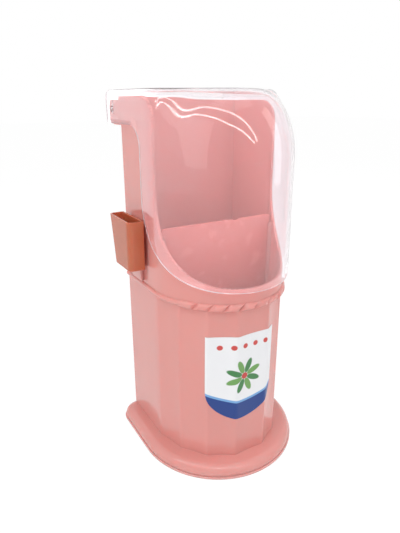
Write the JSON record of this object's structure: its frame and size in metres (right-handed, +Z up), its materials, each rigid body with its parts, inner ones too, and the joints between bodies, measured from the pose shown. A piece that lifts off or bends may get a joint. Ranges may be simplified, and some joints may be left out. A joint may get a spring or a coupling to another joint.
{
  "type": "chopstick holder",
  "caption": "Tall D-shaped kitchen holder for chopsticks with a fluted front, rope bead, U-shaped mouth, clear flip lid, drip tray, divider and side cup for toothpicks.",
  "frame": {"origin": "under the middle of the whole holder's footprint box, on the surface that it stands on", "axes": "+Z up, +X to the right as seen from the front, the mouth faces -Y and the hinge is at the back"},
  "size_m": [0.1332, 0.143, 0.2803],
  "materials": {
    "pink_plastic": "glossy moulded, salmon pink",
    "tray_plastic": "glossy moulded, salmon pink",
    "divider_plastic": "glossy moulded, salmon pink",
    "clear_plastic": "clear polished",
    "cup_plastic": "translucent terracotta",
    "label_film": "satin printed film with a plain blue wave"
  },
  "bodies": {
    "tray": {"drip_tray": "tray_plastic"},
    "column": {"body_shell": "pink_plastic", "label": "label_film"},
    "lid": {"flip_lid": "clear_plastic"},
    "divider": {"divider": "divider_plastic"},
    "cup": {"toothpick_cup": "cup_plastic"}
  },
  "joints": [
    {"name": "body_lift", "type": "slide", "parent": "tray", "child": "column", "axis": [0, 0, 1], "range_m": [0, 0.03]},
    {"name": "lid_hinge", "type": "hinge", "parent": "column", "child": "lid", "pos_m": [0.0011, 0.061, 0.266], "axis": [-1, 0, 0], "range_deg": [0, 105]},
    {"name": "divider_lift", "type": "slide", "parent": "column", "child": "divider", "axis": [0, 0, 1], "range_m": [0, 0.06]},
    {"name": "cup_lift", "type": "slide", "parent": "column", "child": "cup", "axis": [0, 0, 1], "range_m": [0, 0.045]}
  ]
}
